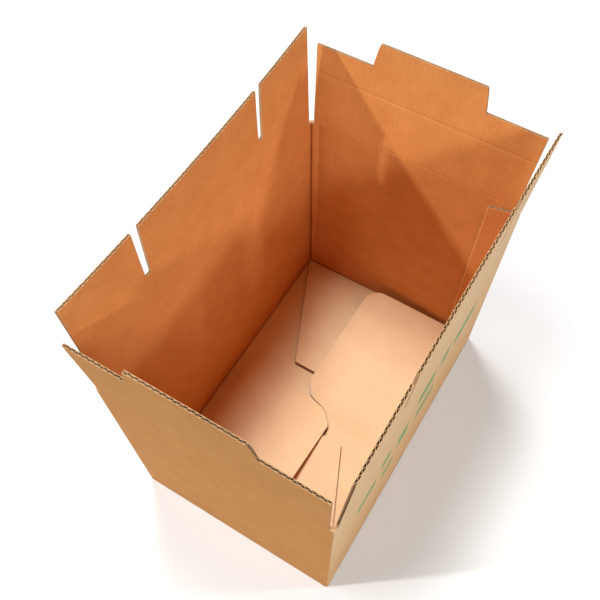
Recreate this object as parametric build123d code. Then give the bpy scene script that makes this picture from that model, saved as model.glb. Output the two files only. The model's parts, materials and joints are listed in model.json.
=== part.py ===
from build123d import *
import os
from math import radians, tan

# An auto-lock bottom carton, folded up from one die-cut sheet of single-wall corrugated board,
# with its four top flaps standing open. Millimetres. X runs along the long panels, Y along the
# short ones, Z is up, and the origin is under the middle of the base. The front panel faces -Y
# and the right end faces +X.

# carton
carton_length = 378.0
carton_width = 250.0
board = 2.8
long_crease_z = 273.0
short_crease_z = 277.0
slot_floor_z = 270.5
fold_radius = 3.2
inner_fold_radius = 0.5
base_fold_radius = 2.2

# corrugated section
flute_pitch = 6.2
liner = 0.4
medium = 0.35
channel_wide = 4.1
channel_narrow = 1.2

# hinge scores
score_half_angle = 34.0
score_land = 0.3
score_clearance = 0.05

# long top flaps
long_flap_height = 122.8
long_flap_inset = 7.1
slit_offset = 91.0
slit_root_z = 57.0
slit_root_width = 7.6
slit_mouth_width = 9.6
slit_corner = 2.0

# short top flaps
short_flap_half_root = 118.8
short_flap_half_width = 121.3
shoulder_height = 91.0
tab_height = 117.0
tab_half_root = 59.6
tab_half_width = 54.9
tab_corner = 1.8
second_score_z = 60.5
second_score_width = 2.4
second_score_depth = 0.7

# how far each flap leans out past upright, in degrees
front_lean = 3.4
back_lean = 1.3
left_lean = 3.4
right_lean = 5.9

# glued side joint
joint_width = 33.5
joint_top_z = 265.0
joint_foot_z = 18.0
joint_slope = 14.0

# auto-lock bottom: reaches are past the middle, at the hook and at the free corner
major_side_gap = 6.5
major_corner_gap = 13.0
front_reach = (24.0, 18.0)
back_reach = (28.0, 26.0)
major_corner = 21.0
major_ramp = 30.0
corner_lift = 18.0
cross_half_width = 20.0
shallow_edge_drop = 20.0
shallow_corner = 12.0
hook_run = 20.9
hook_neck_x = 2.9
hook_neck_y = 12.0
hook_radius = 7.0
hook_gap = 1.2
minor_reach_x = 34.7
minor_side_y = 54.5
minor_web_run = 75.0
minor_inner_y = -24.0
minor_ramp = 18.0

half_length = carton_length / 2
half_width = carton_width / 2
taper_height = (board - score_land) / 2 / tan(radians(score_half_angle))
land_gap = score_clearance + score_land / 2 / tan(radians(score_half_angle))


def face_of(points):
    """Flat face on the XY plane inside a closed ring of points."""
    return make_face(Polyline(*points, close=True))


def across_y(points, y_from, y_to):
    """Prism whose XZ section is the ring of points, standing from y_from to y_to."""
    section = Plane.XZ * face_of(points)
    return Pos(0, y_to, 0) * extrude(section, y_to - y_from)


def across_x(points, x_from, x_to):
    """Prism whose YZ section is the ring of points, standing from x_from to x_to."""
    section = Plane.YZ * face_of(points)
    return Pos(x_from, 0, 0) * extrude(section, x_to - x_from)


def upright(outline):
    """Sheet of board, centred on the XZ plane, cut to an outline drawn on XY."""
    sheet = Plane.XZ * make_face(outline)
    return Pos(0, board / 2, 0) * extrude(sheet, board)


# A score crushes the board to a narrow land, so both sides of a crease taper to it.
def score_section(full_height):
    """Section of a panel that rises from a hinge score at height 0 to full_height."""
    half = board / 2
    land = score_land / 2
    shoulder = land_gap + taper_height
    return [(-land, land_gap), (land, land_gap), (half, shoulder), (half, full_height),
            (-half, full_height), (-half, shoulder)]


def crease_lip(half_span, crease_z):
    """Top edge of a wall, from the slot floor up to its hinge score, along X at y = 0."""
    section = [(y, crease_z - z) for y, z in score_section(crease_z - slot_floor_z)]
    return across_x(section, -half_span, half_span)


# The fluted medium leaves one row of channels behind each liner, half a pitch apart.
def flute_channels(centres, z_from, z_to):
    """Open channels of the corrugation, running up the sheet at each centre."""
    wide = channel_wide / 2
    narrow = channel_narrow / 2
    shelf = board / 2 - liner
    trough = shelf - medium
    cells = []
    for centre in centres:
        for side, shift in ((1, 0), (-1, flute_pitch / 2)):
            x = centre + shift
            ring = [(x - wide, side * shelf), (x + wide, side * shelf),
                    (x + narrow, -side * trough), (x - narrow, -side * trough)]
            cells.append(face_of(ring))
    channels = extrude(Sketch(cells), z_to - z_from)
    return Pos(0, 0, z_from) * channels


def flute_centres(half_span, keep_clear):
    """Flute centres within a half span, leaving out those that meet a cut edge."""
    reach = channel_wide / 2
    count = int((half_span - reach) / flute_pitch)
    centres = [(i - 0.25) * flute_pitch for i in range(-count, count + 1)]
    ends = [(x - reach, x + flute_pitch / 2 + reach) for x in centres]
    return [x for x, (low, high) in zip(centres, ends)
            if -half_span < low and high < half_span
            and not any(low < stop and high > start for start, stop in keep_clear)]


def long_flap():
    """Long top flap at its hinge line, with the two slits that take the tabs."""
    half = half_length - long_flap_inset
    outline = Polyline((-half, 0), (half, 0), (half, long_flap_height),
                       (-half, long_flap_height), close=True)
    flap = upright(outline)
    root = slit_root_width / 2
    mouth = slit_mouth_width / 2
    slit = FilletPolyline((-root, slit_root_z), (root, slit_root_z),
                          (mouth, long_flap_height + 1), (-mouth, long_flap_height + 1),
                          radius=[slit_corner, slit_corner, 0, 0], close=True)
    for side in (-1, 1):
        flap -= Pos(side * slit_offset, 0, 0) * upright(slit)
    flap &= across_x(score_section(long_flap_height), -half, half)
    margin = mouth + liner
    clear = [(side * slit_offset - margin, side * slit_offset + margin) for side in (-1, 1)]
    centres = flute_centres(half - liner, clear)
    return flap - flute_channels(centres, land_gap + 2 * taper_height, long_flap_height + 1)


def short_flap():
    """Short top flap at its hinge line, with a tucking tab and a second score."""
    outline = FilletPolyline(
        (-short_flap_half_root, 0), (short_flap_half_root, 0),
        (short_flap_half_width, shoulder_height), (tab_half_root, shoulder_height),
        (tab_half_width, tab_height), (-tab_half_width, tab_height),
        (-tab_half_root, shoulder_height), (-short_flap_half_width, shoulder_height),
        radius=[0, 0, 0, 0, tab_corner, tab_corner, 0, 0], close=True)
    flap = upright(outline)
    flap &= across_x(score_section(tab_height), -short_flap_half_width, short_flap_half_width)
    # The second score dents the inner face across the whole flap, flutes and all.
    half_dent = second_score_width / 2
    inner = board / 2
    dent = [(inner + 1, second_score_z - half_dent), (inner + 1, second_score_z + half_dent),
            (inner, second_score_z + half_dent), (inner - second_score_depth, second_score_z),
            (inner, second_score_z - half_dent)]
    flap -= across_x(dent, -short_flap_half_width, short_flap_half_width)
    crushed_to = second_score_z + second_score_width
    tab_span = tab_half_width - liner
    tab_centres = flute_centres(tab_span, [])
    shoulders = flute_centres(short_flap_half_root, [(-tab_half_root - liner, tab_half_root + liner)])
    flap -= flute_channels(tab_centres, crushed_to, tab_height + 1)
    return flap - flute_channels(shoulders, crushed_to, shoulder_height + 1)


def stand(flap, turn, half_depth, crease_z, lean):
    """Set a flap on its crease: turned to its panel and leaning out from upright."""
    hinge = Pos(0, board / 2 - half_depth, crease_z)
    return Rot(0, 0, turn) * hinge * Rot(lean, 0, 0) * flap


def walls():
    """Four side panels in one ring, with the lips that carry the flap scores."""
    outer = RectangleRounded(carton_length, carton_width, fold_radius)
    inner = RectangleRounded(carton_length - 2 * board, carton_width - 2 * board, inner_fold_radius)
    block = extrude(outer, slot_floor_z)
    block = fillet(block.faces().sort_by(Axis.Z)[0].edges(), base_fold_radius)
    ring = block - extrude(inner, slot_floor_z)
    long_lip = crease_lip(half_length - long_flap_inset, long_crease_z)
    short_lip = crease_lip(short_flap_half_root, short_crease_z)
    for turn in (0, 180):
        ring += Rot(0, 0, turn) * Pos(0, board / 2 - half_width, 0) * long_lip
        ring += Rot(0, 0, turn + 90) * Pos(0, board / 2 - half_length, 0) * short_lip
    return ring


def side_joint():
    """Glued joint: the front panel's end tab, lapped inside the right end panel."""
    near = -half_width + board / 2
    free = -half_width + joint_width
    slope = (free - near) * tan(radians(joint_slope))
    tab = [(near, joint_foot_z - slope), (free, joint_foot_z), (free, joint_top_z),
           (near, joint_top_z + slope)]
    inside = half_length - 2 * board
    return across_x(tab, inside, inside + board)


def major_section(x, reach, rise, lift):
    """YZ face of a bottom flap at x: up by rise past its ramp, then by lift at the free edge."""
    hinge = -half_width + board / 2
    knee = hinge + major_ramp
    end = reach + 1
    knee_z = rise + lift * major_ramp / (end - hinge)
    ring = [(hinge, 0), (knee, knee_z), (end, rise + lift), (end, rise + lift + board),
            (knee, knee_z + board), (hinge, board)]
    return Pos(x, 0, 0) * (Plane.YZ * face_of(ring))


def major_outline(reach, facing):
    """Plan of the front bottom flap: deep half, hook round the facing flap, shallow half."""
    side = half_length - major_side_gap
    free_side = half_length - major_corner_gap
    hinge = -half_width + board / 2
    shift = hook_gap / 2
    shallow = -facing[0] - shallow_edge_drop
    points = [(-side, hinge), (side, hinge), (free_side, reach[1]), (hook_run + shift, reach[0]),
              (hook_neck_x + shift, hook_neck_y), (shift - hook_neck_x, -hook_neck_y),
              (shift - hook_run, -facing[0]), (-side, shallow)]
    corners = [0, 0, major_corner, 0, hook_radius, hook_radius, 0, shallow_corner]
    return FilletPolyline(*points, radius=corners, close=True)


def major_flap(reach, facing):
    """Front bottom flap: flat on the table at -X, over the right minor flap at +X."""
    side = half_length - major_side_gap
    rise = 3 * board
    sections = [major_section(-side, reach[0], 0, 0),
                major_section(-cross_half_width, reach[0], 0, 0),
                major_section(cross_half_width, reach[0], rise, 0),
                major_section(side, reach[0], rise, corner_lift)]
    flap = loft(sections, ruled=True)
    return flap & extrude(make_face(major_outline(reach, facing)), rise + corner_lift + 2 * board)


def minor_flap():
    """Right bottom flap, its free edge two boards up, its web's folded edge at 45 degrees."""
    hinge = half_length - board / 2
    knee = hinge - minor_ramp
    edge = half_width - board / 2
    section = [(hinge, 0), (hinge, board), (knee, 2 * board), (minor_reach_x, 3 * board),
               (minor_reach_x, 2 * board), (knee, board)]
    plan = [(hinge, -edge), (hinge, edge), (minor_reach_x, minor_side_y),
            (minor_reach_x, minor_inner_y), (hinge - minor_web_run, minor_web_run - edge)]
    return across_y(section, -edge, edge) & extrude(face_of(plan), 4 * board)


def carton_body():
    """Side panels, glued joint and auto-lock bottom, still one folded sheet."""
    body = walls() + side_joint()
    for turn, reach, facing in ((0, front_reach, back_reach), (180, back_reach, front_reach)):
        body += Rot(0, 0, turn) * major_flap(reach, facing)
        body += Rot(0, 0, turn) * minor_flap()
    return body


pieces = {
    "carton_body": carton_body(),
    "front_top_flap": stand(long_flap(), 0, half_width, long_crease_z, front_lean),
    "back_top_flap": stand(long_flap(), 180, half_width, long_crease_z, back_lean),
    "left_top_flap": stand(short_flap(), -90, half_length, short_crease_z, left_lean),
    "right_top_flap": stand(short_flap(), 90, half_length, short_crease_z, right_lean),
}

os.makedirs("parts", exist_ok=True)
for node, solid in pieces.items():
    export_step(solid, f"parts/{node}.step")
    print(node, "solids", len(solid.solids()), "volume", round(solid.volume))
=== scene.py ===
import json
from math import cos, pi, radians, sin, tan

import bpy
import numpy as np
from mathutils import Matrix, Vector


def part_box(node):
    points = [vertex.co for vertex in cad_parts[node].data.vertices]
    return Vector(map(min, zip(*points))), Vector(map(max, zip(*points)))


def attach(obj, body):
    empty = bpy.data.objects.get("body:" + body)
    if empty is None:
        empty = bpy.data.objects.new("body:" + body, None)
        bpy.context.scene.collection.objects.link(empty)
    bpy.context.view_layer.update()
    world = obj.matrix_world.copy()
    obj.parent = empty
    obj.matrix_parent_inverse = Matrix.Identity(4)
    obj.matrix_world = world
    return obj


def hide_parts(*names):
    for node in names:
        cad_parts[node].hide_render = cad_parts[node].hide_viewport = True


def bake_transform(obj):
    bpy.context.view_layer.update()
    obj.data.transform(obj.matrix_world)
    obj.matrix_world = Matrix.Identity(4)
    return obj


# An auto-lock bottom carton of brown corrugated board, standing open. Metres.
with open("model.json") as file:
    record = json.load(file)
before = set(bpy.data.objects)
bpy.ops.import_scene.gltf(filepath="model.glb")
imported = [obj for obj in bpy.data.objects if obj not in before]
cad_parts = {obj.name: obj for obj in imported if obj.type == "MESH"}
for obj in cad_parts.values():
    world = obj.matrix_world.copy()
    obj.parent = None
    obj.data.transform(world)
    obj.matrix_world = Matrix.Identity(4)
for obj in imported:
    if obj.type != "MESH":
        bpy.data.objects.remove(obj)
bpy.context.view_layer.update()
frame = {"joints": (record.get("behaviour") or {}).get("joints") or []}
scene = bpy.context.scene
print("frame loaded")

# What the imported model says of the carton
low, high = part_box("carton_body")
hinges = {joint["child"]: joint for joint in frame["joints"]}
length = high.x - low.x
width = high.y - low.y
halfLength = length / 2
halfWidth = width / 2
longHinge = -hinges["front_flap"]["pos_m"][1]
shortHinge = hinges["right_flap"]["pos_m"][0]
thick = 2 * (halfWidth - longHinge)
half = thick / 2

# The board's section: its papers, the flutes' pitch and the steps to a flute. A mesh's edges are sharp
# past the angle in degrees.
board = {"liner": 0.0004, "medium": 0.00035, "pitch": 0.0062, "waveSteps": 8, "sharp": 35}
core = half - board["liner"]
swing = core - board["medium"] / 2
hair = 1e-6  # places closer than this are one place


# Curves that the shapes share
def smooth(t):
    # 0 up to 0, 1 from 1, and 3 t squared less 2 t cubed between
    t = np.clip(t, 0, 1)
    return t * t * (3 - 2 * t)


def bell(x, spread):
    # 1 at 0, falling off as e to the minus (x over spread) squared
    return np.exp(-(x / spread) ** 2)


def roundOff(distance, radius):
    # how far an edge falls back near a square corner that is rounded, at a distance from it: the
    # radius less the root of its square and the square of what is left of it
    near = np.clip(radius - distance, 0, radius)
    return radius - np.sqrt(radius ** 2 - near ** 2)


def stops(marks, step):
    # the marks in order, and between each two of them even steps no longer than step
    marks = np.unique(np.round(marks, 7))
    counts = np.maximum(1, np.ceil(np.diff(marks) / step - hair).astype(int))
    runs = [np.linspace(a, b, n, endpoint=False) for a, b, n in zip(marks[:-1], marks[1:], counts)]
    return np.concatenate(runs + [marks[-1:]])


def merged(*runs):
    # several runs of places as one, in order, with no place twice
    return np.unique(np.round(np.concatenate(runs), 7))


def fluteStops(start, end):
    # even steps along the corrugation, a set number to each flute
    count = int(np.ceil((end - start) / board["pitch"] * board["waveSteps"]))
    return np.linspace(start, end, count + 1)


# Meshes: every sheet is one or more closed shells on a grid
def shell(lower, upper, uv, keep, slots, ring=False):
    # Two layers of one grid, rows by columns, joined by a rim wherever a kept cell meets one left out.
    # slots holds the material of the upper layer, of the lower one and of the rim. With ring, the
    # last column is the first again.
    rows, columns = lower.shape[:2]
    base = np.arange(rows * columns).reshape(rows, columns)
    top = base + rows * columns
    r, c = np.nonzero(keep)
    faces = [np.stack([top[r, c], top[r, c + 1], top[r + 1, c + 1], top[r + 1, c]], 1),
             np.stack([base[r, c], base[r + 1, c], base[r + 1, c + 1], base[r, c + 1]], 1)]
    marks = [np.full(len(r), slots[0]), np.full(len(r), slots[1])]
    fence = np.pad(keep, 1)
    left, right = fence[1:-1, :-1], fence[1:-1, 1:]
    below, above = fence[:-1, 1:-1], fence[1:, 1:-1]
    for ends, flip in ((left & ~right, False), (right & ~left, True)):
        if ring:
            ends = ends.copy()
            ends[:, [0, -1]] = False
        r, c = np.nonzero(ends)
        quads = np.stack([base[r, c], base[r + 1, c], top[r + 1, c], top[r, c]], 1)
        faces.append(quads[:, ::-1] if flip else quads)
    for ends, flip in ((below & ~above, False), (above & ~below, True)):
        r, c = np.nonzero(ends)
        quads = np.stack([base[r, c], top[r, c], top[r, c + 1], base[r, c + 1]], 1)
        faces.append(quads[:, ::-1] if flip else quads)
    marks += [np.full(len(f), slots[2]) for f in faces[2:]]
    same = np.arange(2 * rows * columns)
    if ring:
        same[base[:, -1]] = base[:, 0]
        same[top[:, -1]] = top[:, 0]
    points = np.concatenate([lower.reshape(-1, 3), upper.reshape(-1, 3)])
    places = np.concatenate([uv.reshape(-1, 2)] * 2)
    return {"points": points, "uv": places, "faces": np.concatenate(faces),
            "slots": np.concatenate(marks), "same": same}


def meshPiece(name, shells, materials):
    # All the shells as one object, with the board's own plane as its UV map, in metres
    offsets = np.cumsum([0] + [len(s["points"]) for s in shells])
    points = np.concatenate([s["points"] for s in shells])
    uv = np.concatenate([s["uv"] for s in shells])
    loops = np.concatenate([s["faces"] + o for s, o in zip(shells, offsets)])
    same = np.concatenate([s["same"] + o for s, o in zip(shells, offsets)])
    used, corners = np.unique(same[loops], return_inverse=True)
    mesh = bpy.data.meshes.new(name)
    mesh.from_pydata(points[used].tolist(), [], corners.reshape(-1, 4).tolist())
    layer = mesh.uv_layers.new(name="board")
    layer.data.foreach_set("uv", uv[loops].astype(np.float32).ravel())
    for material in materials:
        mesh.materials.append(material)
    slots = np.concatenate([s["slots"] for s in shells])
    mesh.polygons.foreach_set("material_index", slots.astype(np.int32))
    mesh.polygons.foreach_set("use_smooth", np.ones(len(slots), bool))
    mesh.set_sharp_from_angle(angle=radians(board["sharp"]))
    mesh.validate()
    piece = bpy.data.objects.new(name, mesh)
    scene.collection.objects.link(piece)
    return piece


def sheet(place, across, along, flutes, keep=None, warp=None, rows=None, shut=()):
    # Corrugated board over a grid: two liners, and between them a medium whose height is the sine of
    # the distance across over the pitch. warp moves the grid's lines on to the cut edges, and along
    # the cuts in shut the die has crushed the flutes, so that the medium fills the board.
    rows = along if rows is None else rows
    made = []
    for us, vs, kind in ((across, along, "outer"), (across, along, "inner"), (flutes, rows, "medium")):
        u, v = np.meshgrid(us, vs)
        middle = np.meshgrid((us[1:] + us[:-1]) / 2, (vs[1:] + vs[:-1]) / 2)
        kept = np.ones(middle[0].shape, bool) if keep is None else keep(*middle)
        if warp:
            u, v = warp(u, v)
        if kind == "outer":
            layers, slots = (np.full_like(u, core), np.full_like(u, half)), (0, 2, 2)
        elif kind == "inner":
            layers, slots = (np.full_like(u, -half), np.full_like(u, -core)), (2, 1, 2)
        else:
            turn = 2 * pi * u / board["pitch"]
            slope = swing * 2 * pi / board["pitch"] * np.cos(turn)
            reach = board["medium"] / 2 * np.sqrt(1 + slope ** 2)
            crushed = np.isin(np.round(us, 5), np.round(shut, 5)) * 2 * core
            layers = (np.clip(swing * np.sin(turn) - reach - crushed, -core, core),
                      np.clip(swing * np.sin(turn) + reach + crushed, -core, core))
            slots = (2, 2, 2)
        faces = [place(u, v, layer) for layer in layers]
        made.append(shell(faces[0], faces[1], np.stack([u, v], -1), kept, slots))
    return made


# Side panels: one ring from the front right corner round to it again
walls = {"top": 0.2705, "bulge": 0.0008, "cornerRadius": 0.0032, "baseRadius": 0.0022,
         # within this distance of a corner the board's section turns from square to diagonal
         "corner": 0.013,
         # the band beside each corner on the end panels: its width at the foot and from wideFrom up,
         # how far it stands proud, the valley on one side of it and the groove on the other
         "bandNarrow": 0.0045, "bandWide": 0.0096, "wideFrom": 0.15, "bandRise": 0.0010,
         "valley": 0.0030, "grooveDepth": 0.0004, "grooveSpread": 0.0006,
         "columnStep": 0.014, "cornerStep": 0.0006, "rowStep": 0.012, "footRows": 5}
sideLengths = np.array([width, length, width, length])
sideStarts = np.concatenate([[0], np.cumsum(sideLengths)])
sideCorners = np.array([[1, -1], [1, 1], [-1, 1], [-1, -1]]) * [halfLength, halfWidth]
sideRuns = np.array([[0, 1], [-1, 0], [0, -1], [1, 0]])
sideFaces = np.array([[1, 0], [0, 1], [-1, 0], [0, -1]])


def wallPlace(s, z, n):
    # s runs round the sharp outer corners from the front right one. The outer face follows a
    # quarter circle at each corner; the inner face is one board in, and on the end panels a band
    # beside the corner stands proud between a groove and a valley. n is shared out between the two,
    # and the panel bulges by the sine of the height times the sine of the distance along it.
    side = np.clip(np.searchsorted(sideStarts, s, side="right") - 1, 0, 3)
    along = s - sideStarts[side]
    late = along > sideLengths[side] / 2
    off = np.where(late, sideLengths[side] - along, along)
    way = np.where(late, -1, 1)[..., None] * sideRuns[side]
    out = sideFaces[side]
    corner = sideCorners[(side + late) % 4]
    radius = walls["cornerRadius"]
    turn = (pi / 4 * (1 - np.clip(off / radius, 0, 1)))[..., None]
    bend = corner + radius * (way - out) + radius * (np.cos(turn) * out - np.sin(turn) * way)
    straight = corner + off[..., None] * way
    outer = np.where((off < radius)[..., None], bend, straight)
    zone = walls["corner"]
    inward = np.where(off < zone, off * (zone - thick) / zone, off - thick)
    band = walls["bandNarrow"] + (walls["bandWide"] - walls["bandNarrow"]) * smooth(z / walls["wideFrom"])
    swell = np.minimum(inward / walls["valley"], (band - inward) / (band - walls["valley"]))
    groove = walls["grooveDepth"] * bell(inward - band, walls["grooveSpread"])
    rise = (walls["bandRise"] * np.clip(swell, 0, 1) - groove) * (side % 2 == 0)
    inner = corner + (inward + thick)[..., None] * way - (thick + rise)[..., None] * out
    across = inner - outer
    across = across / np.linalg.norm(across, axis=-1, keepdims=True)
    base = walls["baseRadius"]
    tuck = base - np.sqrt(base ** 2 - np.clip(base - z, 0, base) ** 2)
    outer = outer + tuck[..., None] * across
    share = ((n + half) / thick)[..., None]
    bulge = walls["bulge"] * np.sin(pi * np.clip(z / walls["top"], 0, 1))
    bulge = bulge * np.sin(pi * along / sideLengths[side])
    flat = inner + (outer - inner) * share + bulge[..., None] * out
    return np.concatenate([flat, z[..., None]], -1)


def wallRing():
    # Columns stand closer beside the corners. The first rows climb the foot's rounding: its radius
    # times one less the cosine of even angles.
    last = sideStarts[-1]
    edges = np.concatenate([[s, s - walls["corner"], s + walls["corner"]] for s in sideStarts])
    edges = edges[(edges >= 0) & (edges <= last)]
    fine = [stops([max(s - walls["corner"], 0), min(s + walls["corner"], last)], walls["cornerStep"])
            for s in sideStarts]
    across = merged(stops(edges, walls["columnStep"]), *fine)
    foot = walls["baseRadius"] * (1 - np.cos(np.linspace(0, pi / 2, walls["footRows"])))
    up = np.concatenate([foot, stops([walls["baseRadius"], walls["top"]], walls["rowStep"])[1:]])
    s, z = np.meshgrid(across, up)
    whole = np.ones((len(up) - 1, len(across) - 1), bool)
    faces = [wallPlace(s, z, np.full_like(s, n)) for n in (-half, half)]
    return shell(faces[0], faces[1], np.stack([s, z], -1), whole, (3, 1, 2), ring=True)


# The glued lap: the front panel's end tab, inside the right end panel
lap = {"free": 0.0335, "top": 0.265, "foot": 0.018, "slope": radians(14),
       "columnStep": 0.004, "rows": 20, "mediumRows": 5}


def lapSheet():
    # a flat sheet on the end panel's inner face, whose two ends slant by the slope's tangent times
    # the distance from the free edge
    start = -halfWidth + thick
    end = -halfWidth + lap["free"]

    def place(u, v, n):
        return np.stack([np.full_like(u, halfLength - thick - half) + n, u, v], -1)

    def warp(u, t):
        slant = (end - u) * tan(lap["slope"])
        return u, (lap["foot"] - slant) * (1 - t) + (lap["top"] + slant) * t

    return sheet(place, stops([start, end], lap["columnStep"]), np.linspace(0, 1, lap["rows"]),
                 fluteStops(start, end), warp=warp, rows=np.linspace(0, 1, lap["mediumRows"]))


# The auto-lock bottom: two long flaps that hook into each other, each over one short flap
bottom = {"start": 0.0008, "sideGap": 0.0065, "cornerGap": 0.013,
          # how far each long flap reaches past the middle, at the hook and at its free corner
          "front": (0.024, 0.018), "back": (0.028, 0.026), "spare": 0.001,
          # the deep half: its round corner, the ramp and height it climbs to, and its corner's lift
          "corner": 0.021, "ramp": 0.030, "rise": 3 * thick, "cornerLift": 0.018, "cross": 0.020,
          # the shallow half: how far its free corner falls back, and that corner's radius
          "drop": 0.020, "shallowCorner": 0.012,
          # the hook: half its run, its neck, the rounding of its turns, and the gap between the two
          "hookRun": 0.0209, "neckX": 0.0029, "neckY": 0.012, "hookRound": 0.0022, "gap": 0.0012,
          # the grid of a long flap
          "step": 0.008, "hookStep": 0.0009, "hookMargin": 0.004, "cornerStep": 0.0012,
          "shallowStep": 0.0015, "rampShare": 0.24, "rampRows": 9, "farRows": 8,
          # a short flap: its free edge, the end of its taper, its web's fold, its ramp and its grid
          "minorReach": 0.0347, "minorSide": 0.0545, "minorWeb": 0.075, "minorInner": -0.024,
          "minorRamp": 0.018, "minorColumns": 30, "minorStep": 0.011}


def majorEdge(x, reach, facing):
    # The free edge of a long bottom flap: a shallow half, an S-shaped hook and a deep half, each
    # point the mean of five along the edge, so that the hook's turns are round.
    b = bottom
    side = halfLength - b["sideGap"]
    freeSide = halfLength - b["cornerGap"]
    shift = b["gap"] / 2
    marks = [-side, shift - b["hookRun"], shift - b["neckX"],
             shift + b["neckX"], shift + b["hookRun"], freeSide]
    edge = [-facing[0] - b["drop"], -facing[0], -b["neckY"], b["neckY"], reach[0], reach[1]]
    y = sum(np.interp(x + off, marks, edge) for off in np.linspace(-1, 1, 5) * b["hookRound"]) / 5
    return y - roundOff(freeSide - x, b["corner"]) - roundOff(side + x, b["shallowCorner"])


def majorSheet(turn, reach, facing):
    # The deep half climbs over the short flap: a rise across the hook, smooth over the ramp, and a
    # lift that grows evenly towards its free corner.
    b = bottom
    side = halfLength - b["sideGap"]
    run = longHinge + reach[0] + b["spare"]

    def place(u, v, n):
        x = -u
        lift = b["rise"] * smooth((x + b["cross"]) / (2 * b["cross"])) * smooth(v / b["ramp"])
        lift = lift + b["cornerLift"] * np.clip((x - b["cross"]) / (side - b["cross"]), 0, 1) * v / run
        return np.stack([turn * x, turn * (v - longHinge), half + lift - n], -1)

    def warp(u, t):
        # the side beyond the deep half tapers from the hinge to the free corner
        x = -u - (b["cornerGap"] - b["sideGap"]) * t * smooth((-u - side / 3) / (side * 2 / 3))
        return -x, b["start"] + (majorEdge(x, reach, facing) + longHinge - b["start"]) * t

    marks = [-side, -side + b["corner"], -b["hookRun"], -b["neckX"], b["neckX"], b["hookRun"],
             side - b["shallowCorner"], side]
    hook = b["hookRun"] + b["hookMargin"]
    across = merged(stops(marks, b["step"]), stops([-hook, hook], b["hookStep"]),
                    stops([-side, -side + b["corner"]], b["cornerStep"]),
                    stops([side - b["shallowCorner"], side], b["shallowStep"]))
    up = np.concatenate([np.linspace(0, b["rampShare"], b["rampRows"]),
                         np.linspace(b["rampShare"], 1, b["farRows"])[1:]])
    return sheet(place, across, up, fluteStops(-side, side), warp=warp)


def minorSheet(turn):
    # A short bottom flap lies over the surface and rises by one board, smooth over its ramp, and by
    # one more, evenly, from the ramp to its free edge.
    b = bottom
    deep = shortHinge - b["minorReach"]

    def place(u, v, n):
        even = np.clip((v - b["minorRamp"]) / (deep - b["minorRamp"]), 0, 1)
        lift = thick * (smooth(v / b["minorRamp"]) + even)
        return np.stack([turn * (shortHinge - v), turn * -u, half + lift - n], -1)

    def warp(s, v):
        # s runs from the tapered edge to the folded edge of the web, which turns at 45 degrees
        taper = longHinge - (longHinge - b["minorSide"]) * v / deep
        fold = [-longHinge, b["minorWeb"] - longHinge, b["minorInner"]]
        web = np.interp(v, [0, b["minorWeb"], deep], fold)
        return -(taper + (web - taper) * s), v

    count = int(2 * longHinge / board["pitch"] * board["waveSteps"])
    up = stops([b["start"], b["minorRamp"], b["minorWeb"], deep], b["minorStep"])
    return sheet(place, np.linspace(0, 1, b["minorColumns"]), up, np.linspace(0, 1, count), warp=warp)


# Top flaps, each in the plane of its hinge: u along the crease, v up the flap, n outwards. Each bows
# by so much at its free edge, inwards where it is below nothing.
bows = {"front_flap": -0.0010, "back_flap": -0.0050, "left_flap": -0.0008, "right_flap": 0.0010}
longFlap = {"height": 0.1228, "inset": 0.0071,
            # the slits: their distance from the middle, the foot, half the width at the foot and at
            # the mouth, and how far beside a slit the columns fan out
            "slit": 0.091, "root": 0.057, "rootHalf": 0.0038, "mouthHalf": 0.0048, "corner": 0.0020,
            "fan": 0.02, "creaseDepth": 0.00015,
            "step": 0.009, "cornerStep": 0.0005, "rootStep": 0.004, "rowStep": 0.0095,
            "mediumStep": 0.025}
shortFlap = {"shoulder": 0.091, "height": 0.117, "rootHalf": 0.1188, "wideHalf": 0.1213,
             "tabRoot": 0.0596, "tabHalf": 0.0549, "corner": 0.0018, "cornerRise": 0.004,
             "score": 0.0605, "scoreDepth": 0.0003, "scoreSpread": 0.0014, "scoreZone": 0.004,
             "creaseDepth": 0.00035,
             "step": 0.009, "cornerStep": 0.0004, "scoreStep": 0.0005, "riseStep": 0.001,
             "mediumStep": 0.02}
crease = {"reach": 0.0025, "innerSpread": 0.0012, "outerDepth": 0.00012, "outerSpread": 0.0009,
          "step": 0.0004, "footStep": 0.003, "columnStep": 0.008}


def hingeAxes(joint):
    # the hinge's point, the crease's direction, outwards from the carton, and the lean past upright
    pivot = np.array(joint["pos_m"])
    along = np.array(joint["axis"], float)
    out = np.cross(along, [0, 0, 1])
    return pivot, along, out, radians(-90 - joint["range_deg"][0])


def flapPlace(joint, halfSpan, height, score=None):
    # The flap bows by the square of the height, most in the middle of its span, and a second score
    # sinks its inner face along a bell.
    pivot, along, out, lean = hingeAxes(joint)
    up = cos(lean) * np.array([0, 0, 1]) + sin(lean) * out
    normal = cos(lean) * out - sin(lean) * np.array([0, 0, 1])
    bow = bows[joint["child"]]

    def place(u, v, n):
        shift = bow * (1 - np.clip(u / halfSpan, -1, 1) ** 2) * (v / height) ** 2
        if score:
            dent = score["scoreDepth"] * bell(v - score["score"], score["scoreSpread"])
            n = n + dent * np.clip(-n / half, -0.2, 1)
        n = n + shift
        return pivot + u[..., None] * along + v[..., None] * up + n[..., None] * normal

    return place


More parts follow.
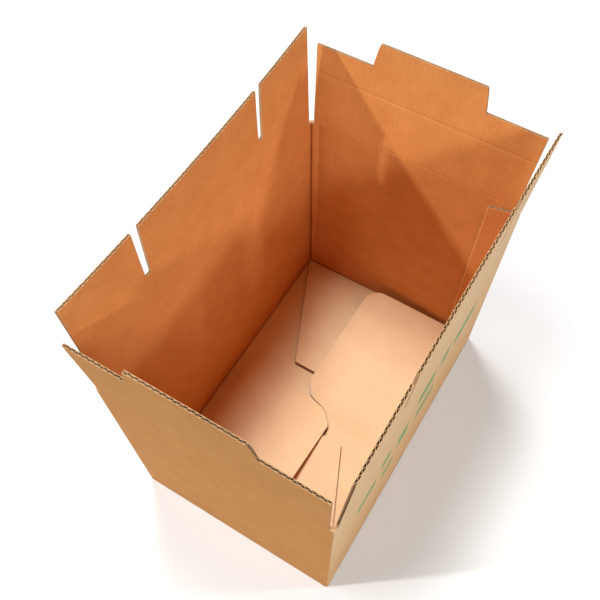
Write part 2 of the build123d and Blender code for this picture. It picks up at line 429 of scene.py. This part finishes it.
def longSheet(joint):
    # a flap with two slits, whose half width grows evenly from the foot to the mouth
    f = longFlap
    side = halfLength - f["inset"]
    cuts = [end * f["slit"] + edge * f["rootHalf"] for end in (-1, 1) for edge in (-1, 1)]
    soft = [end * f["slit"] + edge * (f["rootHalf"] - f["corner"]) for end in (-1, 1) for edge in (-1, 1)]

    def keep(u, v):
        return ~((np.abs(np.abs(u) - f["slit"]) < f["rootHalf"]) & (v > f["root"]))

    def warp(u, v):
        # near a slit the grid's columns fan out to its tapered sides, and its foot lifts at the corners
        off = np.abs(u) - f["slit"]
        beside = np.clip(1 - (np.abs(off) - f["rootHalf"]) / f["fan"], 0, 1)
        near = beside * np.clip(np.abs(off) / f["rootHalf"], 0, 1)
        above = np.clip((v - f["root"]) / (f["height"] - f["root"]), 0, 1)
        opened = (f["mouthHalf"] - f["rootHalf"]) * above
        lift = roundOff(f["rootHalf"] - np.abs(off), f["corner"]) * (np.abs(off) <= f["rootHalf"] + hair)
        return u + np.sign(u) * np.sign(off) * near * opened, v + lift * (np.abs(v - f["root"]) < hair)

    rounds = [stops(pair, f["cornerStep"]) for pair in zip(sorted(soft), sorted(cuts))]
    across = merged(stops([-side, side] + cuts + soft, f["step"]), *rounds)
    flutes = np.unique(np.round(np.concatenate([fluteStops(-side, side), cuts]), 6))
    rows, fewer = (stops([crease["reach"], f["root"], f["root"] + f["rootStep"], f["height"]], f[step])
                   for step in ("rowStep", "mediumStep"))
    place = flapPlace(joint, side, f["height"])
    return sheet(place, across, rows, flutes, keep, warp, rows=fewer, shut=cuts)


def shortSheet(joint):
    # a flap with a tab above its shoulders: its sides and the tab's are straight, and both change
    # evenly with the height
    f = shortFlap

    def keep(u, v):
        return ~((np.abs(u) > f["tabRoot"]) & (v > f["shoulder"]))

    def warp(u, v):
        # the sides splay a little up to the shoulders, the tab narrows above them, and its corners round
        splay = (f["wideHalf"] - f["rootHalf"]) * np.clip(v / f["shoulder"], 0, 1)
        wide = u * (1 + splay / f["rootHalf"])
        above = np.clip((v - f["shoulder"]) / (f["height"] - f["shoulder"]), 0, 1)
        tab = u * (1 - (f["tabRoot"] - f["tabHalf"]) * above / f["tabRoot"])
        within = np.abs(u) <= f["tabRoot"] + hair
        atShoulder = np.abs(v - f["shoulder"]) <= hair
        body = np.where(np.abs(u) <= f["tabRoot"], u, wide)
        body = np.where(atShoulder, np.where(within, u, wide), body)
        moved = np.where(v > f["shoulder"] + hair, tab, body)
        rise = smooth((v - f["height"] + f["cornerRise"]) / f["cornerRise"])
        return moved, v - roundOff(f["tabRoot"] - np.abs(u), f["corner"]) * rise * within

    cuts = [-f["tabRoot"], f["tabRoot"]]
    soft = [-f["tabRoot"] + f["corner"], f["tabRoot"] - f["corner"]]
    ends = [-f["rootHalf"], f["rootHalf"]]
    rounds = [stops(pair, f["cornerStep"]) for pair in zip(cuts, soft)]
    across = merged(stops(ends + cuts + soft, f["step"]), *rounds)
    flutes = np.unique(np.round(np.concatenate([fluteStops(*ends), cuts]), 6))
    near = [f["score"] - f["scoreZone"], f["score"] + f["scoreZone"]]
    last = [f["height"] - f["cornerRise"], f["height"]]
    marks = [crease["reach"]] + near + [f["shoulder"]] + last
    rows = merged(stops(marks, f["step"]), stops(near, f["scoreStep"]), stops(last, f["riseStep"]))
    fewer = stops(marks, f["mediumStep"])
    place = flapPlace(joint, f["rootHalf"], f["height"], f)
    return sheet(place, across, rows, flutes, keep, warp, rows=fewer)


def creaseStrip(joint, halfSpan, depth):
    # The scored board that turns with the flap: a point at height v turns about the hinge by the lean
    # times its share, and both faces sink along a bell at the fold.
    pivot, along, out, lean = hingeAxes(joint)
    reach = crease["reach"]
    us = stops([-halfSpan, halfSpan], crease["columnStep"])
    vs = merged(stops([walls["top"] - pivot[2], -reach], crease["footStep"]),
                stops([-reach, reach], crease["step"]))
    u, v = np.meshgrid(us, vs)
    inner = -half + depth * bell(v, crease["innerSpread"])
    outer = half - crease["outerDepth"] * bell(v, crease["outerSpread"])
    turn = lean * smooth((v + reach) / (2 * reach))
    faces = []
    for n in (inner, outer):
        height = v * np.cos(turn) - n * np.sin(turn)
        offset = v * np.sin(turn) + n * np.cos(turn)
        place = pivot + u[..., None] * along + height[..., None] * np.array([0, 0, 1])
        faces.append(place + offset[..., None] * out)
    whole = np.ones((len(vs) - 1, len(us) - 1), bool)
    return shell(faces[0], faces[1], np.stack([u, v], -1), whole, (0, 1, 2))


# Shader maths
class Wire:
    # one output socket: arithmetic on it adds Math nodes
    def __init__(self, paint, socket):
        self.paint = paint
        self.socket = socket

    def math(self, operation, *values):
        return self.paint.add("ShaderNodeMath", {"operation": operation}, dict(enumerate(values)))

    def __add__(self, other):
        return self.math("ADD", self, other)

    def __radd__(self, other):
        return self.math("ADD", other, self)

    def __sub__(self, other):
        return self.math("SUBTRACT", self, other)

    def __rsub__(self, other):
        return self.math("SUBTRACT", other, self)

    def __mul__(self, other):
        return self.math("MULTIPLY", self, other)

    def __rmul__(self, other):
        return self.math("MULTIPLY", other, self)

    def sine(self):
        return self.math("SINE", self)

    def size(self):
        return self.math("ABSOLUTE", self)

    def over(self, other):
        return self.math("MAXIMUM", self, other)

    def under(self, other):
        return self.math("MINIMUM", self, other)


class Paint:
    # the nodes of one material, or of the world
    def __init__(self, holder):
        self.holder = holder
        holder.use_nodes = True
        self.tree = holder.node_tree
        self.tree.nodes.clear()

    def add(self, kind, settings=None, inputs=None, output=0):
        # a node of a kind, its settings first and then the values or links of its sockets
        node = self.tree.nodes.new(kind)
        for key, value in (settings or {}).items():
            setattr(node, key, value)
        for key, value in (inputs or {}).items():
            if isinstance(value, Wire):
                self.tree.links.new(value.socket, node.inputs[key])
            else:
                node.inputs[key].default_value = value
        return Wire(self, node.outputs[output]) if node.outputs else node

    def part(self, vector, axis):
        # one of a vector's three numbers
        return self.add("ShaderNodeSeparateXYZ", None, {0: vector}, axis)

    def noise(self, vector, scale, detail, rough):
        # a noise's value, from about 0.2 to 0.8
        return self.add("ShaderNodeTexNoise", None,
                        {"Vector": vector, "Scale": scale, "Detail": detail, "Roughness": rough})

    def blend(self, factor, first, second, kind="MIX"):
        # a mix of colours: they are the node's sockets 6 and 7, and the mix is its output 2
        return self.add("ShaderNodeMix", {"data_type": "RGBA", "blend_type": kind},
                        {0: factor, 6: first, 7: second}, 2)

    def band(self, value, start, end, low=0.0, high=1.0):
        # low up to start, high from end, and smooth between
        return self.add("ShaderNodeMapRange", {"interpolation_type": "SMOOTHSTEP"},
                        {0: value, 1: start, 2: end, 3: low, 4: high})

    def finish(self, colour, roughness, height, look, solid=1.0):
        # one matt shader, its bump in metres of height
        bump = self.add("ShaderNodeBump", None,
                        {"Strength": look["bump"], "Distance": 1.0, "Height": height})
        shader = self.add("ShaderNodeBsdfPrincipled", None,
                          {"Base Color": colour, "Roughness": roughness, "Normal": bump,
                           "Specular IOR Level": look["shine"], "Alpha": solid})
        self.add("ShaderNodeOutputMaterial", None, {0: shader})
        return self.holder


def plain(red, green, blue):
    # a colour read off a screen, 0 to 255, as the linear values that the shader takes
    return [((c / 255 + 0.055) / 1.055) ** 2.4 if c > 10 else c / 3295 for c in (red, green, blue)] + [1.0]


# Papers. Each noise of the pulp has a scale, a detail and a roughness, and the fibres are streaks.
pulp = {"mottle": (38.0, 3.0, 0.5), "fleck": (620.0, 2.0, 0.7), "fibre": (1.0, 3.0, 0.6),
        "streak": (180.0, 900.0, 1.0), "roughSpread": 0.2}
outerLook = {"light": plain(204, 149, 88), "dark": plain(172, 115, 60), "mottle": 0.5, "fleck": 1.2,
             "fibre": 0.7, "ribs": 0.03, "ribHeight": 0.00001, "grain": 0.00003, "bump": 1.0,
             "roughness": 0.6, "shine": 0.02}
innerLook = {"light": plain(230, 160, 94), "dark": plain(202, 130, 70), "mottle": 0.8, "fleck": 1.0,
             "fibre": 0.7, "ribs": 0.03, "ribHeight": 0.00001, "grain": 0.00003, "bump": 1.0,
             "roughness": 0.8, "shine": 0.15}
# painted light: the floor's paper is the inner paper made paler, for the strong light from above on the
# bottom
litFloorLook = dict(innerLook, light=plain(254, 227, 184), dark=plain(236, 205, 160))
edgeLook = {"light": plain(220, 184, 140), "dark": plain(146, 104, 66), "mottle": 0.6, "fleck": 0.8,
            "fibre": 0.3, "ribs": 0.0, "ribHeight": 0.0, "grain": 0.00003, "bump": 1.0,
            "roughness": 0.9, "shine": 0.15}


def kraft(name, look, cover=None):
    # Kraft paper: broad mottling, small flecks and short fibres that lie across the flutes shift the
    # colour between a dark and a light tone, and the flutes show through as faint ribs.
    paint = Paint(bpy.data.materials.new(name))
    spot = paint.add("ShaderNodeTexCoord", None, None, "Object")
    plane = paint.add("ShaderNodeUVMap", {"uv_map": "board"})
    streak = paint.add("ShaderNodeMapping", None, {"Vector": plane, "Scale": pulp["streak"]})
    mottle = paint.noise(spot, *pulp["mottle"])
    fleck = paint.noise(spot, *pulp["fleck"])
    fibre = paint.noise(streak, *pulp["fibre"])
    ribs = (paint.part(plane, 0) * (2 * pi / board["pitch"])).sine()
    tone = (mottle - 0.5) * look["mottle"] + (fleck - 0.5) * look["fleck"]
    tone = tone + (fibre - 0.5) * look["fibre"] + ribs * look["ribs"] + 0.5
    colour = paint.blend(tone.over(0.0).under(1.0), look["dark"], look["light"])
    if cover:
        colour = cover(paint, spot, fleck, colour)
    height = ribs * look["ribHeight"] + (fleck + fibre) * look["grain"]
    roughness = (fleck - 0.5) * pulp["roughSpread"] + look["roughness"]
    return paint.finish(colour, roughness, height, look)


printed = {"colour": plain(60, 146, 96), "soft": 0.0006, "share": 0.8,
           # the ink thins where the paper's grain is above the first, by the second times the excess
           "thin": (0.35, 0.60),
           # how deep under the panel's face the colours end
           "skin": (0.0008, 0.0016),
           # the panel's paler tone, a painted sheen, and its share at the lower and at the upper of two
           # heights
           "pale": plain(232, 212, 176), "paleHeights": (0.03, 0.30), "paleShare": (0.25, 0.50),
           # each mark: its middle along and up the panel, and half its length and height
           "marks": [(-0.122, 0.176, 0.018, 0.010), (-0.086, 0.196, 0.009, 0.010),
                     (-0.074, 0.140, 0.012, 0.010), (-0.048, 0.176, 0.011, 0.015),
                     (-0.004, 0.206, 0.018, 0.012), (0.006, 0.152, 0.020, 0.012),
                     (0.038, 0.206, 0.010, 0.012), (0.088, 0.196, 0.026, 0.012)]}


def frontPrintAndSheen(paint, spot, grain, colour):
    # The front panel is paler towards its top, a painted sheen of light at a flat angle, with a line
    # of plain bars in green: each mark is where the larger of its two distances, less half its size,
    # is below nothing.
    x, y, z = (paint.part(spot, axis) for axis in range(3))
    ink = None
    for middle, height, reach, tall in printed["marks"]:
        off = ((x - middle).size() - reach).over((z - height).size() - tall)
        ink = off if ink is None else ink.under(off)
    cover = paint.band(ink, -printed["soft"], printed["soft"], 1.0, 0.0)
    front = paint.band(y, *(depth - halfWidth for depth in printed["skin"]), 1.0, 0.0)
    start, rate = printed["thin"]
    worn = 1 - (grain - start).over(0.0) * rate
    # painted sheen: the paler tone, stronger up the panel
    pale = front * paint.band(z, *printed["paleHeights"], *printed["paleShare"])
    return paint.blend(cover * front * worn * printed["share"], paint.blend(pale, colour, printed["pale"]),
                       printed["colour"])


# painted shade: the dark lines in the folds where panels meet, and the height at which those in the corners
# end
folds = {"reach": 0.0010, "soft": 0.0012, "crest": 0.266, "shade": plain(150, 96, 60), "share": 0.6}


def foldShade(paint, spot, grain, colour):
    # Painted shade: the paper darkens where two panels meet, as shade falls in the fold, within a
    # reach of a wall's inner face in two of the three directions at once.
    inside = [halfLength - thick, halfWidth - thick]
    x, y = (paint.band(paint.part(spot, axis).size(), inside[axis] - folds["reach"] - folds["soft"],
                       inside[axis] - folds["reach"]) for axis in range(2))
    z = paint.part(spot, 2)
    foot = paint.band(z, thick + folds["reach"], thick + folds["reach"] + folds["soft"], 1.0, 0.0)
    below = paint.band(z, folds["crest"], folds["crest"] + folds["soft"], 1.0, 0.0)
    meet = (x * y * below).over(x * foot).over(y * foot)
    return paint.blend(meet * folds["share"], colour, folds["shade"], "MULTIPLY")


# painted contact shadow: the dark lines beside a short bottom flap's edges, up to the second of two
# heights in board thicknesses
contactShadow = {"reach": 0.0022, "edge": 0.001, "share": 0.8, "heights": (1.1, 1.3)}


def floorShade(paint, spot, grain, colour):
    # Beside the painted fold shade, a painted contact shadow darkens the lowest paper where a short
    # bottom flap lies on it: beyond that flap's tapered edge and beyond its free edge. Half a turn brings
    # one pair on to the other.
    free, side = bottom["minorReach"], bottom["minorSide"]
    reach, edge = contactShadow["reach"], contactShadow["edge"]
    slant = (longHinge - side) / (shortHinge - free)
    lines = None
    for turn in (1, -1):
        x, y = paint.part(spot, 0) * turn, paint.part(spot, 1) * turn
        off = y - (x - shortHinge) * slant - longHinge
        taper = paint.band(off, 0.0, reach, 1.0, 0.0) * paint.band(off, -edge, 0.0)
        taper = taper * paint.band(x, free - edge, free)
        end = paint.band(x, free - reach, free - reach / 2) * paint.band(x, free, free + edge, 1.0, 0.0)
        end = end * paint.band(y, side - edge, side, 1.0, 0.0) * paint.band(y, 0.0, edge)
        both = taper.over(end)
        lines = both if lines is None else lines.over(both)
    lowest = paint.band(paint.part(spot, 2), *(thick * height for height in contactShadow["heights"]), 1.0, 0.0)
    shaded = paint.blend(lines * lowest * contactShadow["share"], colour, folds["shade"], "MULTIPLY")
    return foldShade(paint, spot, grain, shaded)


# painted highlight: the lap's crushed free edge catches light and is painted paler: between which distances
# from it, and how much
lapHighlight = {"highlightReach": (0.0015, 0.0010), "paper": plain(244, 190, 132), "share": 0.8}


def lapEdgeHighlight(paint, spot, grain, colour):
    # painted highlight: the paper goes over to a paler one, smoothly, along the lap's crushed free edge
    # where it catches light
    edge = paint.band(paint.part(spot, 1), *(lap["free"] - halfWidth - off for off in lapHighlight["highlightReach"]))
    return paint.blend(edge * lapHighlight["share"], colour, lapHighlight["paper"])


outerPaper = kraft("outerPaper", outerLook)
printedPaper = kraft("printedPaper", outerLook, frontPrintAndSheen)
innerPaper = kraft("innerPaper", innerLook, foldShade)
floorPaper = kraft("floorPaper", litFloorLook, floorShade)
lapPaper = kraft("lapPaper", innerLook, lapEdgeHighlight)
cutEdge = kraft("cutEdge", edgeLook)
print("materials made")


# The pieces, each on its own body
def cartonSheet():
    # a sheet's inner liner has slot 1: on the bottom it takes the floor's paper, 4, and on the lap 5
    lapShells = lapSheet()
    floorShells = []
    for turn, reach, facing in ((1, "front", "back"), (-1, "back", "front")):
        floorShells += majorSheet(turn, bottom[reach], bottom[facing]) + minorSheet(turn)
    for parts, slot in ((floorShells, 4), (lapShells, 5)):
        for part in parts:
            part["slots"] = np.where(part["slots"] == 1, slot, part["slots"])
    return meshPiece("carton", [wallRing()] + lapShells + floorShells,
                     [outerPaper, innerPaper, cutEdge, printedPaper, floorPaper, lapPaper])


def addFlap(body, name, node, shells, halfSpan, depth):
    # a flap that rides on its body, and its crease, which bends between the carton and the flap
    joint = hinges[body]
    papers = [printedPaper if body == "front_flap" else outerPaper, innerPaper, cutEdge]
    flap = meshPiece(name, shells, papers)
    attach(flap, body)
    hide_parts(node)
    fold = meshPiece(name + "Crease", [creaseStrip(joint, halfSpan, depth)], papers)
    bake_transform(fold)


carton = cartonSheet()
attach(carton, "carton")
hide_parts("carton_body")
print("carton built")
for side in ("front", "back"):
    body = side + "_flap"
    addFlap(body, side + "Flap", side + "_top_flap", longSheet(hinges[body]),
            halfLength - longFlap["inset"], longFlap["creaseDepth"])
for side in ("left", "right"):
    body = side + "_flap"
    addFlap(body, side + "Flap", side + "_top_flap", shortSheet(hinges[body]),
            shortFlap["rootHalf"], shortFlap["creaseDepth"])
print("flaps built")


# Floor, light and camera
studio = {"floorColour": plain(236, 236, 236), "floorTint": plain(226, 226, 226), "tintShare": 0.06,
          "tintNoise": (3.0, 2.0, 0.5), "floorRough": 0.6, "floorFinish": {"bump": 0.0, "shine": 0.2},
          "floorReach": 1.6, "floorFade": (0.75, 1.5),  # it fades out between these distances
          "sky": (1.0, 1.0, 1.0, 1.0), "skyStrength": 0.01,
          # each lamp: the way it lies from the aim, its size and its power
          "lampAim": (0, 0, 0.2), "lampDistance": 3.0,
          "lamps": {"backLeftLamp": ((-0.510, 0.560, 0.660), 0.14, 41.0),
                    "frontRightLamp": ((0.426, -0.745, 0.514), 0.30, 22.0),
                    "frontLeftLamp": ((-0.750, -0.500, 0.490), 0.30, 21.0),
                    "frontLamp": ((-0.300, -0.700, 0.650), 1.20, 28.0),
                    "topLamp": ((0.140, 0.180, 1.000), 0.60, 26.0),
                    "topRightLamp": ((0.280, 0.280, 1.000), 0.60, 31.0),
                    "topLeftLamp": ((-0.200, 0.250, 1.000), 0.80, 28.0)}}
# the camera, as the carton's corners in the photo fix it
eye = {"place": (-0.31775, -0.176525, 0.870525), "aim": (0.06395, 0.0651, 0.0), "roll": -0.0197,
       "lens": 43.84, "film": 36.0, "shift": 0.0728, "near": 0.01}


def addFloor():
    # a pale square in two tones, which fades out far from the carton
    paint = Paint(bpy.data.materials.new("paleFloor"))
    spot = paint.add("ShaderNodeTexCoord", None, None, "Object")
    tone = paint.noise(spot, *studio["tintNoise"]) * studio["tintShare"]
    colour = paint.blend(tone, studio["floorColour"], studio["floorTint"])
    far = paint.add("ShaderNodeVectorMath", {"operation": "LENGTH"}, {0: spot}, "Value")
    solid = paint.band(far, *studio["floorFade"], 1.0, 0.0)
    material = paint.finish(colour, studio["floorRough"], 0.0, studio["floorFinish"], solid)
    reach = studio["floorReach"]
    corners = [(-reach, -reach, 0), (reach, -reach, 0), (reach, reach, 0), (-reach, reach, 0)]
    mesh = bpy.data.meshes.new("paleFloor")
    mesh.from_pydata(corners, [], [(0, 1, 2, 3)])
    mesh.materials.append(material)
    floor = bpy.data.objects.new("paleFloor", mesh)
    scene.collection.objects.link(floor)


def addLamp(name, way, size, power):
    # a round lamp that faces back along its way
    lamp = bpy.data.lights.new(name, "AREA")
    lamp.shape = "DISK"
    lamp.size = size
    lamp.energy = power
    holder = bpy.data.objects.new(name, lamp)
    way = Vector(way).normalized()
    holder.location = Vector(studio["lampAim"]) + way * studio["lampDistance"]
    holder.rotation_mode = "QUATERNION"
    holder.rotation_quaternion = (-way).to_track_quat("-Z", "Y")
    scene.collection.objects.link(holder)


def addSky():
    # almost dark to the lamps' bounces, and white to the camera, to reflections and through clear things
    sky = Paint(bpy.data.worlds.new("studioSky"))
    kinds = ("Is Camera Ray", "Is Glossy Ray", "Is Transmission Ray")
    camera, glossy, through = (sky.add("ShaderNodeLightPath", None, None, kind) for kind in kinds)
    dim = sky.add("ShaderNodeBackground", None, {"Color": studio["sky"], "Strength": studio["skyStrength"]})
    white = sky.add("ShaderNodeBackground", None, {"Color": studio["sky"], "Strength": 1.0})
    mixed = sky.add("ShaderNodeMixShader", None, {0: camera.over(glossy).over(through), 1: dim, 2: white})
    sky.add("ShaderNodeOutputWorld", None, {0: mixed})
    scene.world = sky.holder


def addCamera():
    # looks from its place to the aim, then rolls about its own axis
    data = bpy.data.cameras.new("photoCamera")
    data.sensor_width = eye["film"]
    data.lens = eye["lens"]
    data.shift_y = eye["shift"]
    data.clip_start = eye["near"]
    camera = bpy.data.objects.new("photoCamera", data)
    place = Vector(eye["place"])
    back = (place - Vector(eye["aim"])).normalized()
    right = Vector((0, 0, 1)).cross(back).normalized()
    up = back.cross(right)
    c, s = cos(eye["roll"]), sin(eye["roll"])
    axes = Matrix((c * right + s * up, c * up - s * right, back)).transposed()
    camera.matrix_world = Matrix.Translation(place) @ axes.to_4x4()
    scene.collection.objects.link(camera)
    scene.camera = camera


addFloor()
for name, lamp in studio["lamps"].items():
    addLamp(name, *lamp)
addSky()
scene.view_settings.view_transform = "Standard"
addCamera()
print("studio set")
